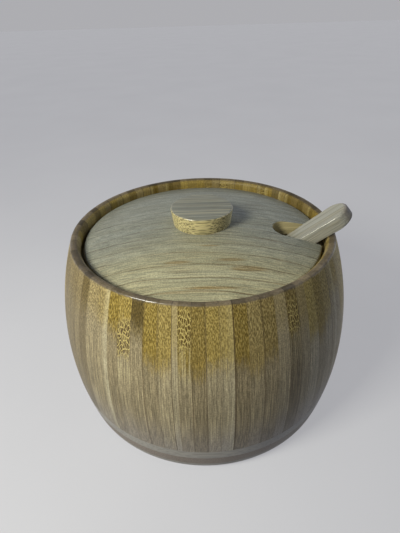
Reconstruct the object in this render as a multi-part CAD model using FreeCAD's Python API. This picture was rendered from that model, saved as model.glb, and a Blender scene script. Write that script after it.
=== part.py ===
import FreeCAD, Part
import math
import os

from FreeCAD import Vector

# A bamboo salt box. Staves glued edge to edge, and one thin strip that closes their ring, make
# a barrel. It stands on a base of crossed plies and is turned to one smooth outside. A domed
# lid of glued strips lies in a seat inside the rim. It carries a knob on a dowel, and a notch
# at its edge lets the handle of a wooden spoon lean out over the rim.
# Millimetres. The origin is the middle of the underside, +Z is up, -Y is the front, and the
# spoon leans out towards +X. Front angles are in degrees, counted from -Y towards +X.

# Barrel, outside
belly_diameter = 120.0
belly_height = 31.5
body_height = 77.6
rim_inset = 8.9               # the rim stands this far inside the belly
foot_rounding = 5.0
rim_outer_rounding = 0.7
rim_inner_rounding = 2.2

# Barrel, inside
wall = 8.0                    # at the belly
rim_width = 3.1               # beside the lid
seat_depth = 6.8              # from the rim's top down to the ledge that carries the lid
ledge_width = 4.5

# Staves and base. Seams are front angles, and the front ones are not quite even
right_seams = (-8.8, 0.0, 9.0, 18.8, 28.5, 37.5)
left_seams = (-50.5, -40.0, -30.0, -20.5)
closing_seam = -10.8          # from here to the first right seam a thin strip closes the ring
back_stave_count = 29         # evenly spaced between the outermost of those seams
base_ply_thickness = 5.2
base_ply_names = ("bottom", "middle", "top")

# Lid
lid_gap = 1.1                 # all round the lid in its seat
lid_edge_thickness = 3.2
lid_dome = 5.0                # from the edge's top up to the knob
lid_edge_rounding = 0.9
lid_strip_count = 7

# Knob and its dowel
knob_diameter = 24.2
knob_base_diameter = 22.6
knob_height = 6.5
knob_rounding = 0.6
knob_land_margin = 0.5        # flat top of the lid that shows round the knob
dowel_diameter = 8.0
wood_over_dowel = 2.5         # left in the knob
wood_under_dowel = 2.2        # left in the lid
dowel_glue_gap = 0.05
dowel_end_room = 0.3

# Spoon
shank_length = 107.0          # from the bowl's tip to where the handle's round end starts
handle_width = 11.2
handle_thickness = 5.2
handle_edge_rounding = 0.6
neck_width = 7.0
neck_length = 19.0            # straight, counted from the bowl's middle
bowl_length = 42.0
bowl_width = 25.0
bowl_hollow = 4.0
bowl_floor = 2.4
bowl_lip = 2.4

# How the spoon leans, and the notch round its handle
spoon_clearance = 0.25
spoon_foot_inset = 26.6       # from the inner wall to where the spoon's line meets the floor
handle_front_angle = 81.8
notch_front_offset = 1.9      # the notch's front angle less the handle's
notch_clearance = 0.3
notch_end_room = 0.15
notch_mouth_room = 2.0

# A rounding takes at most this share of the wood that it is cut in
foot_share = 0.97
rim_outer_share = 0.25
rim_inner_share = 0.72

# Places that follow from the sizes
belly_radius = belly_diameter / 2
rim_radius = belly_radius - rim_inset
base_top = base_ply_thickness * len(base_ply_names)
seat_level = body_height - seat_depth
seat_radius = rim_radius - rim_width
ledge_radius = seat_radius - ledge_width
lid_radius = seat_radius - lid_gap
lid_edge_top = seat_level + lid_edge_thickness
lid_top = lid_edge_top + lid_dome
knob_top = lid_top + knob_height
knob_land_radius = knob_base_diameter / 2 + knob_land_margin
dowel_hole_bottom = seat_level + wood_under_dowel
dowel_hole_top = knob_top - wood_over_dowel
foot_radius = min(foot_rounding, foot_share * base_ply_thickness)
rim_outer_radius = min(rim_outer_rounding, rim_outer_share * rim_width)
rim_inner_radius = min(rim_inner_rounding, rim_inner_share * rim_width)
neck_end = bowl_length / 2 + neck_length
cutter_margin = 1.0

ORIGIN = Vector(0, 0, 0)
ALONG_X = Vector(1, 0, 0)
ALONG_Y = Vector(0, 1, 0)
UP = Vector(0, 0, 1)


def side(radius, height):
    """A point of a turned profile."""
    return Vector(radius, 0, height)


def line(start, end):
    return Part.LineSegment(start, end).toShape()


def arc(start, middle, end):
    return Part.Arc(start, middle, end).toShape()


def sagitta_radius(half_chord, rise):
    """Radius of the arc that rises so far over half its chord."""
    return (half_chord ** 2 + rise ** 2) / (2 * rise)


class BarrelArc:
    """The barrel's side: an arc with its widest place at the belly's height."""

    def __init__(self, widest, narrow, narrow_level):
        self.radius = sagitta_radius(narrow_level - belly_height, widest - narrow)
        self.centre = widest - self.radius

    def at(self, height):
        rise = height - belly_height
        return side(self.centre + math.sqrt(self.radius ** 2 - rise ** 2), height)

    def rounding_centre(self, rounding_radius, height):
        """Centre, at that height, of a rounding that touches the arc from inside."""
        reach = self.radius - rounding_radius
        rise = height - belly_height
        return side(self.centre + math.sqrt(reach ** 2 - rise ** 2), height)

    def touch(self, rounding_centre):
        """The point where that rounding meets the arc."""
        middle = side(self.centre, belly_height)
        return middle + (rounding_centre - middle).normalize() * self.radius

    def between(self, start, end):
        """The stretch of the arc between two of its points."""
        return arc(start, self.at((start.z + end.z) / 2), end)


outside = BarrelArc(belly_radius, rim_radius, body_height)
inside = BarrelArc(belly_radius - wall, ledge_radius, seat_level)


def rounding(centre, radius, start, end):
    """A rounding between two points that lie on it."""
    bulge = ((start - centre) + (end - centre)).normalize() * radius
    return arc(start, centre + bulge, end)


def turned(edges, angle=360.0, start_angle=0.0):
    """Turn a closed profile about the box's axis."""
    face = Part.Face(Part.Wire(edges))
    solid = face.revolve(ORIGIN, UP, angle)
    solid.rotate(ORIGIN, UP, start_angle)
    return solid


def stave_seams():
    """All seams in order, from the closing strip round to it again."""
    first = right_seams[-1]
    last = left_seams[0] + 360.0
    step = (last - first) / back_stave_count
    back = [first + step * index for index in range(1, back_stave_count)]
    left = [angle + 360.0 for angle in left_seams + (closing_seam,)]
    return list(right_seams) + back + left


def stave(start, end):
    """One stave: outer side, rounded rim, seat and ledge for the lid, inner side."""
    crown = outside.rounding_centre(rim_outer_radius, body_height - rim_outer_radius)
    crown_side = outside.touch(crown)
    crown_top = side(crown.x, body_height)
    lead = side(seat_radius + rim_inner_radius, body_height - rim_inner_radius)
    lead_top = side(lead.x, body_height)
    lead_side = side(seat_radius, lead.z)
    seat_corner = side(seat_radius, seat_level)
    ledge_edge = side(ledge_radius, seat_level)
    outer_foot = outside.at(base_top)
    inner_foot = inside.at(base_top)
    edges = [
        outside.between(outer_foot, crown_side),
        rounding(crown, rim_outer_radius, crown_side, crown_top),
        line(crown_top, lead_top),
        rounding(lead, rim_inner_radius, lead_top, lead_side),
        line(lead_side, seat_corner),
        line(seat_corner, ledge_edge),
        inside.between(ledge_edge, inner_foot),
        line(inner_foot, outer_foot),
    ]
    return turned(edges, end - start, start - 90.0)


def base_ply(index):
    """One ply of the base. The lowest one has the rounded edge of the underside."""
    low = index * base_ply_thickness
    high = low + base_ply_thickness
    low_centre = side(0, low)
    high_centre = side(0, high)
    high_edge = outside.at(high)
    if index == 0:
        foot = outside.rounding_centre(foot_radius, foot_radius)
        foot_side = outside.touch(foot)
        low_edge = side(foot.x, 0)
        flank = [
            rounding(foot, foot_radius, low_edge, foot_side),
            outside.between(foot_side, high_edge),
        ]
    else:
        low_edge = outside.at(low)
        flank = [outside.between(low_edge, high_edge)]
    edges = [line(low_centre, low_edge)] + flank
    edges += [line(high_edge, high_centre), line(high_centre, low_centre)]
    return turned(edges)


def dome_centre_height():
    """Height of the centre of the ball that the lid's top is turned to."""
    spread = lid_radius ** 2 - knob_land_radius ** 2
    return (spread + lid_edge_top ** 2 - lid_top ** 2) / (2 * (lid_edge_top - lid_top))


def whole_lid():
    """The lid before its notch: flat below, domed above, with a flat land for the knob."""
    ball_height = dome_centre_height()
    ball_radius = math.hypot(lid_radius, lid_edge_top - ball_height)
    edge_reach = lid_radius - lid_edge_rounding
    edge_drop = math.sqrt((ball_radius - lid_edge_rounding) ** 2 - edge_reach ** 2)
    edge = side(edge_reach, ball_height + edge_drop)
    ball = side(0, ball_height)
    edge_top = ball + (edge - ball).normalize() * ball_radius
    edge_side = side(lid_radius, edge.z)
    land_edge = side(knob_land_radius, lid_top)
    half_way = (edge_top.x + land_edge.x) / 2
    dome_middle = side(half_way, ball_height + math.sqrt(ball_radius ** 2 - half_way ** 2))
    low_edge = side(lid_radius, seat_level)
    edges = [
        line(side(0, seat_level), low_edge),
        line(low_edge, edge_side),
        rounding(edge, lid_edge_rounding, edge_side, edge_top),
        arc(edge_top, dome_middle, land_edge),
        line(land_edge, side(0, lid_top)),
        line(side(0, lid_top), side(0, seat_level)),
    ]
    return turned(edges)


def upright_rod(radius, low, high):
    return Part.makeCylinder(radius, high - low, side(0, low), UP)


def dowel_hole():
    """The blind holes in the lid and the knob, as one cutter."""
    return upright_rod(dowel_diameter / 2 + dowel_glue_gap, dowel_hole_bottom, dowel_hole_top)


def knob_dowel():
    low = dowel_hole_bottom + dowel_end_room
    high = dowel_hole_top - dowel_end_room
    return upright_rod(dowel_diameter / 2, low, high)


def knob():
    """The knob, a little wider at the top, with a blind hole for its dowel."""
    base_edge = side(knob_base_diameter / 2, lid_top)
    flank_top = side(knob_diameter / 2, knob_top - knob_rounding)
    crown = flank_top - ALONG_X * knob_rounding
    crown_top = side(crown.x, knob_top)
    edges = [
        line(side(0, lid_top), base_edge),
        line(base_edge, flank_top),
        rounding(crown, knob_rounding, flank_top, crown_top),
        line(crown_top, side(0, knob_top)),
        line(side(0, knob_top), side(0, lid_top)),
    ]
    return turned(edges).cut(dowel_hole())


def shank_half_width(station):
    """Half the handle's width: straight along the neck, then an arc that widens it."""
    if station <= neck_end:
        return neck_width / 2
    flare = (handle_width - neck_width) / 2
    radius = sagitta_radius(shank_length - neck_end, flare)
    run = station - neck_end
    return neck_width / 2 + radius - math.sqrt(radius ** 2 - run ** 2)


def shank_edge(turn):
    """Start, flare's start, flare's middle and flare's end along one edge of the handle."""
    stations = (bowl_length / 2, neck_end, (neck_end + shank_length) / 2, shank_length)
    return [Vector(station, turn * shank_half_width(station), 0) for station in stations]


def shank_outline():
    """The handle's outline from the middle of the bowl to its round end."""
    right = shank_edge(-1)
    left = shank_edge(1)
    half_end = left[3].y
    lean = 2 * math.atan2(half_end - neck_width / 2, shank_length - neck_end)
    tip = shank_length + half_end * (math.tan(lean) + 1 / math.cos(lean))
    return [
        line(right[0], right[1]),
        arc(right[1], right[2], right[3]),
        arc(right[3], ALONG_X * tip, left[3]),
        arc(left[3], left[2], left[1]),
        line(left[1], left[0]),
        line(left[0], right[0]),
    ]


def handle():
    """The spoon's handle with sharp edges, its top at z = 0."""
    face = Part.Face(Part.Wire(shank_outline()))
    return face.extrude(UP * -handle_thickness)


def boat(length, width, depth):
    """A boat-shaped solid under z = 0: the lowest part of a spindle with its axis above."""
    section_radius = sagitta_radius(width / 2, depth)
    keel_radius = sagitta_radius(length / 2, depth)
    axis = UP * (section_radius - depth)
    reach = length / 2 + depth / 2
    along = ALONG_X * reach
    end_radius = section_radius - keel_radius + math.sqrt(keel_radius ** 2 - reach ** 2)
    bow = axis + along + UP * end_radius
    stern = axis - along + UP * end_radius
    edges = [
        line(axis - along, stern),
        arc(stern, axis + UP * section_radius, bow),
        line(bow, axis + along),
        line(axis + along, axis - along),
    ]
    spindle = Part.Face(Part.Wire(edges)).revolve(axis, ALONG_X, 360)
    corner = Vector(-2 * reach, -width, -2 * depth)
    below = Part.makeBox(4 * reach, 2 * width, 2 * depth, corner)
    return spindle.common(below)


def flat_spoon():
    """The spoon lying along X, its bowl's tip at the origin and its top at z = 0."""
    middle = ALONG_X * (bowl_length / 2)
    bowl = boat(bowl_length, bowl_width, bowl_hollow + bowl_floor)
    bowl.translate(middle)
    hollow = boat(bowl_length - 2 * bowl_lip, bowl_width - 2 * bowl_lip, bowl_hollow)
    hollow.translate(middle)
    spoon = bowl.fuse(handle()).cut(hollow).removeSplitter()
    eased = []
    for edge in spoon.Edges:
        box = edge.BoundBox
        level = box.ZLength < handle_edge_rounding
        if level and box.XMax > bowl_length:
            eased.append(edge)
    return spoon.makeFillet(handle_edge_rounding, eased)


class Lean:
    """How the spoon lies: on the rim's inner rounding and on the floor of the box."""

    def __init__(self, spoon):
        rest_radius = seat_radius + rim_inner_radius
        rest_reach = math.sqrt(rest_radius ** 2 - (handle_width / 2) ** 2)
        foot_reach = inside.at(base_top).x - spoon_foot_inset
        slope = math.atan2(body_height - base_top, rest_reach + foot_reach)
        self.along = Vector(math.cos(slope), 0, math.sin(slope))
        self.tilt = -math.degrees(slope)
        self.turn = handle_front_angle - 90.0
        normal = Vector(-self.along.z, 0, self.along.x)
        rest = side(rest_reach, body_height - rim_inner_radius)
        on_top = rest + normal * (rim_inner_radius + spoon_clearance + handle_thickness)
        tilted = spoon.copy()
        tilted.rotate(ORIGIN, ALONG_Y, self.tilt)
        lowest = tilted.optimalBoundingBox().ZMin
        foot_level = base_top + spoon_clearance - lowest
        self.foot = on_top + self.along * ((foot_level - on_top.z) / self.along.z)

    def place(self, spoon):
        spoon.rotate(ORIGIN, ALONG_Y, self.tilt)
        spoon.translate(self.foot)
        spoon.rotate(ORIGIN, UP, self.turn)
        return spoon

    def lid_station(self):
        """Where along the spoon its top comes up through the lid's underside."""
        return (seat_level - self.foot.z) / self.along.z


def notch(lean):
    """Cutter for the lid's notch: a round end behind the handle and a mouth that flares."""
    station = lean.lid_station()
    entry = (lean.foot + lean.along * station).x
    sideways = entry * math.sin(math.radians(notch_front_offset))
    room = shank_half_width(station) + abs(sideways) + notch_clearance
    end_radius = room + notch_end_room
    end_centre = entry + math.sqrt(end_radius ** 2 - room ** 2)
    mouth_radius = handle_width / 2 + notch_mouth_room
    spread = math.asin((mouth_radius - end_radius) / (lid_radius - end_centre))
    touch_x = end_centre - end_radius * math.sin(spread)
    touch_y = end_radius * math.cos(spread)
    outer = lid_radius + mouth_radius
    outer_half = touch_y + (outer - touch_x) * math.tan(spread)
    left_touch = Vector(touch_x, touch_y, 0)
    right_touch = Vector(touch_x, -touch_y, 0)
    left_mouth = Vector(outer, outer_half, 0)
    right_mouth = Vector(outer, -outer_half, 0)
    edges = [
        arc(left_touch, ALONG_X * (end_centre - end_radius), right_touch),
        line(right_touch, right_mouth),
        line(right_mouth, left_mouth),
        line(left_mouth, left_touch),
    ]
    height = lid_top - seat_level + 2 * cutter_margin
    cutter = Part.Face(Part.Wire(edges)).extrude(UP * height)
    cutter.translate(UP * (seat_level - cutter_margin))
    cutter.rotate(ORIGIN, UP, lean.turn + notch_front_offset)
    return cutter


def lid_strip(lid, index):
    """One strip of the lid, counted from the front."""
    width = 2 * lid_radius / lid_strip_count
    corner = Vector(-2 * lid_radius, index * width - lid_radius, seat_level - cutter_margin)
    height = lid_top - seat_level + 2 * cutter_margin
    return lid.common(Part.makeBox(4 * lid_radius, width, height, corner))


def salt_box():
    """All pieces by name."""
    pieces = {}
    for index, name in enumerate(base_ply_names):
        pieces["base_ply_" + name] = base_ply(index)
    seams = stave_seams()
    for index, start in enumerate(seams[:-1]):
        pieces["stave_%02d" % (index + 1)] = stave(start, seams[index + 1])
    pieces["closing_strip"] = stave(seams[-1], seams[0] + 360.0)
    spoon = flat_spoon()
    lean = Lean(spoon)
    lid = whole_lid().cut(notch(lean)).cut(dowel_hole())
    for index in range(lid_strip_count):
        pieces["lid_strip_%d" % (index + 1)] = lid_strip(lid, index)
    pieces["lid_knob"] = knob()
    pieces["knob_dowel"] = knob_dowel()
    pieces["spoon"] = lean.place(spoon)
    return pieces


os.makedirs("parts", exist_ok=True)
for name, piece in salt_box().items():
    Part.makeCompound(piece.Solids).exportStep("parts/%s.step" % name)
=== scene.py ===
import math

import bpy
import numpy as np
from mathutils import Matrix, Vector


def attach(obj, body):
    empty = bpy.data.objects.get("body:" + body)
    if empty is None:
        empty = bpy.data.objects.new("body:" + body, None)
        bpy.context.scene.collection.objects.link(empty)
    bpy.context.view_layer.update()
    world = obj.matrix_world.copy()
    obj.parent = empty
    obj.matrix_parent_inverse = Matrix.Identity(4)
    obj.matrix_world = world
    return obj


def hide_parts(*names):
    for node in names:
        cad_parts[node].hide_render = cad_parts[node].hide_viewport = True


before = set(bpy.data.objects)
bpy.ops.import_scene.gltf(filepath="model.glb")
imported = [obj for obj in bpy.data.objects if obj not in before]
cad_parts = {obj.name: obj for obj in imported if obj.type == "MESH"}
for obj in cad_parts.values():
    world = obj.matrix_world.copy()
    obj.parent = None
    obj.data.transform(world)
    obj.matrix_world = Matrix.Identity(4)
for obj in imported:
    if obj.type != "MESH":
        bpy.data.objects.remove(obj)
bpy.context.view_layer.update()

# Sizes are in millimetres. The origin is the middle of the underside, +Z is up, -Y is the front.
# Front angles are in degrees, counted from -Y towards +X.
MILLIMETRE = 0.001
sharp_angle = 32.0

# Barrel
belly_height = 31.5
belly_radius = 60.0
rim_radius = 51.1
body_height = 77.6
rim_outer_rounding = 0.7
rim_inner_rounding = 2.2
inner_belly_radius = 52.0
seat_radius = 48.0
seat_level = 70.8
ledge_radius = 43.5
outer_steps = 44
crown_steps = 6
lead_steps = 9
inner_steps = 24

# Staves: seams between them, and the glue line in the middle of each of the front ones
right_seams = (-8.8, 0.0, 9.0, 18.8, 28.5, 37.5)
right_glue_lines = (-4.5, 4.5, 14.0, 24.0, 33.3)
left_seams = (-50.5, -40.0, -30.0, -20.5)
left_glue_lines = (-46.0, -34.5, -25.0, -15.6)
closing_seam = -10.8
back_stave_count = 29
columns_in_lamination = 4

# Base
ply_thickness = 5.2
ply_names = ("bottom", "middle", "top")
base_top = ply_thickness * len(ply_names)
foot_rounding = 5.0
ply_rings = (0.0, 20.0, 42.0)
ply_segments = 192
ply_side_steps = 7
foot_side_steps = 4
foot_steps = 14

# Lid
lid_radius = 46.9
lid_edge_top = 74.0
lid_top = 79.0
lid_edge_rounding = 0.9
lid_strip_count = 7
notch_front_angle = 83.7
notch_end_reach = 33.826
notch_end_radius = 5.996
notch_spread = 7.045
notch_ease = 0.4
notch_run = 18.0
notch_end_points = 40
notch_wall_points = 30
lid_row_angles = (1.6, 178.4, 119)
lid_end_gap = 0.02
lid_columns = 66
lid_under_columns = 12
edge_steps = 7

# Knob
knob_radius = 12.1
knob_base_radius = 11.3
knob_top = 85.5
knob_rounding = 0.6
knob_land_radius = 11.8
knob_top_rings = (0.0, 4.0, 8.0)
knob_under_rings = (knob_base_radius, 6.0, 0.0)
knob_segments = 128

# Spoon, along its own length from the bowl's tip
spoon_slope = 39.977
spoon_turn = -8.2
spoon_foot = (-33.046, 15.85)
bowl_length = 42.0
bowl_width = 25.0
bowl_hollow = 4.0
bowl_floor = 2.4
bowl_lip = 2.4
bowl_edge = 1.1
lip_ease = 0.4
neck_half_width = 3.5
neck_end = 40.0
shank_end = 107.0
handle_half_width = 5.6
handle_thickness = 5.2
handle_ease = 0.35
handle_tip_ease = 1.1
spoon_start_gap = 0.03
spoon_end_gap = 0.02
tip_run = 4.0
tip_ease_start = 1.5
neck_blend = (1.5, 3.5)
keel_start = 18.0
keel_full = 33.0
keel_flank = 1.9
keel_core = 0.6
least_thickness = 0.15
spoon_end_rows = 34
spoon_middle_rows = 90
spoon_columns = 47


def bend(centre, radius, start, end, count):
    """Arc as (across, up) points: centre + radius (cos a, sin a), a in degrees from start to end."""
    angle = np.radians(np.linspace(start, end, count))
    return np.stack([centre[0] + radius * np.cos(angle), centre[1] + radius * np.sin(angle)], axis=1)


def barrel_arc(widest, narrow, narrow_height):
    """Centre and radius of a barrel's side, widest at the belly.

    With rise h and inset d from there to the narrow place, the radius is (h^2 + d^2) / 2d.
    """
    rise = narrow_height - belly_height
    inset = widest - narrow
    radius = (rise ** 2 + inset ** 2) / (2 * inset)
    return (widest - radius, belly_height), radius


def arc_angle(height, radius):
    """Angle on a barrel's side at which it has that height."""
    return math.degrees(math.asin((height - belly_height) / radius))


outer_centre, outer_radius = barrel_arc(belly_radius, rim_radius, body_height)
inner_centre, inner_radius = barrel_arc(inner_belly_radius, ledge_radius, seat_level)


def wall_profile():
    """Section of the wall as (radius, height), counter-clockwise.

    Outer arc upwards, small outer and larger inner rounding of the rim, the lid's seat, its ledge,
    and the inner arc downwards.
    """
    crown_angle = arc_angle(body_height - rim_outer_rounding, outer_radius - rim_outer_rounding)
    reach = outer_radius - rim_outer_rounding
    crown = (
        outer_centre[0] + reach * math.cos(math.radians(crown_angle)),
        body_height - rim_outer_rounding,
    )
    lead = (seat_radius + rim_inner_rounding, body_height - rim_inner_rounding)
    return np.vstack([
        bend(outer_centre, outer_radius, arc_angle(base_top, outer_radius), crown_angle, outer_steps)[:-1],
        bend(crown, rim_outer_rounding, crown_angle, 90.0, crown_steps),
        bend(lead, rim_inner_rounding, 90.0, 180.0, lead_steps),
        [(seat_radius, seat_level), (ledge_radius, seat_level)],
        bend(
            inner_centre,
            inner_radius,
            arc_angle(seat_level, inner_radius),
            arc_angle(base_top, inner_radius),
            inner_steps,
        )[1:],
    ])


def about_axis(profile, angles):
    """Turn (radius, height) points to front angles a: (r sin a, -r cos a, h), one row per angle."""
    turn = np.radians(angles)[:, None]
    radius = profile[None, :, 0]
    height = np.broadcast_to(profile[None, :, 1], (len(angles), len(profile)))
    return np.stack([radius * np.sin(turn), -radius * np.cos(turn), height], axis=-1)


def ring_quads(rows, count):
    """Quads between rows of closed loops. They face along (row direction) x (loop direction)."""
    row, place = np.meshgrid(np.arange(rows - 1), np.arange(count), indexing="ij")
    after = (place + 1) % count
    corners = [
        row * count + place,
        (row + 1) * count + place,
        (row + 1) * count + after,
        row * count + after,
    ]
    return np.stack(corners, axis=-1).reshape(-1, 4)


def capped_tube(loops):
    """Points and faces of closed loops, shape (rows, count, 3), with a flat cap at each end."""
    rows, count = loops.shape[:2]
    faces = ring_quads(rows, count).tolist()
    faces.append(list(range(count)))
    faces.append(list(range((rows - 1) * count, rows * count))[::-1])
    return loops.reshape(-1, 3), faces


def turned_solid(profile, segments):
    """Turn a profile about the axis. It runs from the axis at the top to the axis at the bottom."""
    angles = np.linspace(0.0, 360.0, segments, endpoint=False)
    rings = about_axis(profile[1:-1], angles).transpose(1, 0, 2)
    count = len(rings)
    place = np.arange(segments)
    after = (place + 1) % segments
    top = np.full(segments, count * segments)
    last = (count - 1) * segments
    fans = [
        np.stack([top, place, after], axis=1),
        np.stack([top + 1, last + after, last + place], axis=1),
    ]
    poles = np.array([[0.0, 0.0, profile[0, 1]], [0.0, 0.0, profile[-1, 1]]])
    points = np.vstack([rings.reshape(-1, 3), poles])
    faces = ring_quads(count, segments).tolist() + np.vstack(fans).tolist()
    return points, faces


def add_piece(name, shape, material, node, body):
    """Put a shape's points into a mesh in metres, smooth but for its sharp edges."""
    points, faces = shape
    mesh = bpy.data.meshes.new(name)
    mesh.from_pydata((points * MILLIMETRE).tolist(), [], faces)
    mesh.shade_smooth()
    mesh.set_sharp_from_angle(angle=math.radians(sharp_angle))
    mesh.materials.append(material)
    piece = bpy.data.objects.new(name, mesh)
    bpy.context.scene.collection.objects.link(piece)
    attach(piece, body)
    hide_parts(node)
    return piece


# Node trees

class Tree:
    """A node tree with short ways to add nodes. An input is a number, a colour or a socket."""

    def __init__(self, tree):
        self.tree = tree

    def put(self, socket, value):
        if isinstance(value, bpy.types.NodeSocket):
            self.tree.links.new(value, socket)
        else:
            socket.default_value = value

    def node(self, kind, inputs=None, **settings):
        node = self.tree.nodes.new(kind)
        for setting, value in settings.items():
            setattr(node, setting, value)
        for key, value in (inputs or {}).items():
            self.put(node.inputs[key], value)
        return node

    def math(self, operation, *values):
        inputs = dict(enumerate(values))
        return self.node("ShaderNodeMath", inputs, operation=operation).outputs[0]

    def plus(self, total, *others):
        """Sum of two or more values."""
        for other in others:
            total = self.math("ADD", total, other)
        return total

    def times(self, product, *others):
        """Product of two or more values."""
        for other in others:
            product = self.math("MULTIPLY", product, other)
        return product

    def minus(self, value, other):
        return self.math("SUBTRACT", value, other)

    def size(self, value):
        """A value without its sign."""
        return self.math("ABSOLUTE", value)

    def length(self, x, y):
        """Distance of (x, y) from the origin."""
        return self.math("POWER", self.plus(self.times(x, x), self.times(y, y)), 0.5)

    def vector(self, operation, *values):
        inputs = dict(enumerate(values))
        return self.node("ShaderNodeVectorMath", inputs, operation=operation).outputs[0]

    def scaled(self, vector, factor):
        node = self.node("ShaderNodeVectorMath", {"Vector": vector, "Scale": factor}, operation="SCALE")
        return node.outputs[0]

    def join(self, x, y, z):
        return self.node("ShaderNodeCombineXYZ", {"X": x, "Y": y, "Z": z}).outputs[0]

    def parts(self, vector):
        return self.node("ShaderNodeSeparateXYZ", {"Vector": vector}).outputs

    def step(self, value, low, high):
        """0 below low, 1 above high, smooth between. With low above high it falls."""
        inputs = {"Value": value, "From Min": low, "From Max": high}
        node = self.node("ShaderNodeMapRange", inputs, interpolation_type="SMOOTHSTEP")
        return node.outputs["Result"]

    def spread(self, value, low, high):
        """Stretch 0 to 1 over low to high."""
        inputs = {"Value": value, "To Min": low, "To Max": high}
        return self.node("ShaderNodeMapRange", inputs).outputs["Result"]

    def noise(self, vector, scale, detail=2.0):
        inputs = {"Vector": vector, "Scale": scale, "Detail": detail}
        return self.node("ShaderNodeTexNoise", inputs).outputs["Fac"]

    def cells(self, vector, scale, feature):
        """Voronoi cells over the vector's X and Y."""
        inputs = {"Vector": vector, "Scale": scale}
        return self.node("ShaderNodeTexVoronoi", inputs, voronoi_dimensions="2D", feature=feature)

    def mix(self, share, first, second, blend="MIX"):
        node = self.node("ShaderNodeMix", data_type="RGBA", blend_type=blend)
        self.put(node.inputs[0], share)
        self.put(node.inputs[6], first)
        self.put(node.inputs[7], second)
        return node.outputs[2]

    def shade(self, colour, factor):
        """Make a colour lighter or darker by a factor."""
        return self.mix(1.0, colour, self.join(factor, factor, factor), "MULTIPLY")

    def vary(self, colour, value, low, high):
        """Shade a colour by a value from 0 to 1, stretched over low to high."""
        return self.shade(colour, self.spread(value, low, high))

    def place(self):
        """The point on the object, in millimetres."""
        return self.scaled(self.node("ShaderNodeTexCoord").outputs["Object"], 1.0 / MILLIMETRE)

    def own(self, name):
        """One of the mesh's own attributes."""
        return self.node("ShaderNodeAttribute", attribute_name=name)

    def use(self, group, **inputs):
        """Place a node group. Spaces in its inputs' names are written as underscores."""
        node = self.tree.nodes.new("ShaderNodeGroup")
        node.node_tree = group
        for key, value in inputs.items():
            self.put(node.inputs[key.replace("_", " ")], value)
        return node.outputs


def new_group(name, inputs, outputs):
    """A shader node group with named sockets. Returns its tree, its inputs and its output node."""
    group = bpy.data.node_groups.new(name, "ShaderNodeTree")
    for label, (kind, value) in inputs.items():
        socket = group.interface.new_socket(name=label, in_out="INPUT", socket_type=kind)
        if value is not None:
            socket.default_value = value
    for label in outputs:
        group.interface.new_socket(name=label, in_out="OUTPUT", socket_type="NodeSocketFloat")
    tree = Tree(group)
    return group, tree, tree.node("NodeGroupInput").outputs, tree.node("NodeGroupOutput").inputs


shift_strides = (53.0, 91.0, 217.0)
drift_scale = 0.12
drift_stretch = (1.0, 1.0, 0.2)
drift_reach = (1.6, 1.6, 0.0)
fleck_fade = (0.42, 0.2)
net_fade = (0.42, 0.64)
fibre_scale = 0.6
fibre_fade = (0.3, 0.7)
cloud_scale = 0.09
cloud_stretch = (1.0, 1.0, 0.35)


def bamboo_grain_group():
    """Bamboo with its fibres along Z.

    Bundles are Voronoi cells across the fibres that run on along them, so a cut along the fibres shows
    long lines and a slanting cut shows short flecks. Flecks are the cells' dark middles, Net is the pale
    wood between them, Fibres is fine stretched noise, and Cloud is slow change of tone.
    """
    group, tree, given, result = new_group(
        "bamboo_grain",
        {
            "Place": ("NodeSocketVector", None),
            "Spacing": ("NodeSocketFloat", 1.1),
            "Run": ("NodeSocketFloat", 40.0),
            "Shift": ("NodeSocketFloat", 0.0),
        },
        ("Flecks", "Net", "Fibres", "Cloud"),
    )
    offset = tree.join(*[tree.times(given["Shift"], stride) for stride in shift_strides])
    moved = tree.vector("ADD", given["Place"], offset)
    slowed = tree.vector("MULTIPLY", moved, drift_stretch)
    inputs = {"Vector": slowed, "Scale": drift_scale, "Detail": 2.0}
    drift = tree.node("ShaderNodeTexNoise", inputs).outputs["Color"]
    centred = tree.vector("SUBTRACT", drift, (0.5, 0.5, 0.5))
    wavy = tree.vector("ADD", moved, tree.vector("MULTIPLY", centred, drift_reach))
    across = tree.math("DIVIDE", 1.0, given["Spacing"])
    along = tree.math("DIVIDE", across, given["Run"])
    scaled = tree.vector("MULTIPLY", wavy, tree.join(across, across, along))
    distance = tree.cells(scaled, 1.0, "F1").outputs["Distance"]
    tree.put(result["Flecks"], tree.step(distance, *fleck_fade))
    tree.put(result["Net"], tree.step(distance, *net_fade))
    tree.put(result["Fibres"], tree.step(tree.noise(scaled, fibre_scale, 4.0), *fibre_fade))
    tree.put(result["Cloud"], tree.noise(tree.vector("MULTIPLY", moved, cloud_stretch), cloud_scale))
    return group


rubbed_scale = 0.07
rubbed_share = 0.75
pore_share = 0.35


def satin_group():
    """Satin lacquer: a roughness that wanders, smoother in rubbed patches and rougher in the pores."""
    group, tree, given, result = new_group(
        "satin_lacquer",
        {
            "Place": ("NodeSocketVector", None),
            "Pores": ("NodeSocketFloat", 0.0),
            "Smooth": ("NodeSocketFloat", 0.36),
            "Rough": ("NodeSocketFloat", 0.52),
        },
        ("Roughness",),
    )
    rubbed = tree.times(tree.noise(given["Place"], rubbed_scale, 3.0), rubbed_share)
    patches = tree.plus(rubbed, tree.times(given["Pores"], pore_share))
    span = tree.minus(given["Rough"], given["Smooth"])
    tree.put(result["Roughness"], tree.plus(given["Smooth"], tree.times(span, patches)))
    return group


bamboo_grain = bamboo_grain_group()
satin_lacquer = satin_group()


# Materials. Colours are linear red, green, blue and alpha. A pair named fade is where an effect starts and
# where it is full, and a pair named range is what a factor is at 0 and at 1. Heights, radii and widths are
# in millimetres.

lacquer_edge_roughness = 0.22
relief_depth = 0.06 * MILLIMETRE
net_pale = (0.56, 0.47, 0.26, 1.0)
speckle_scale = 2.1
speckle_range = (0.4, 1.6)


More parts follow.
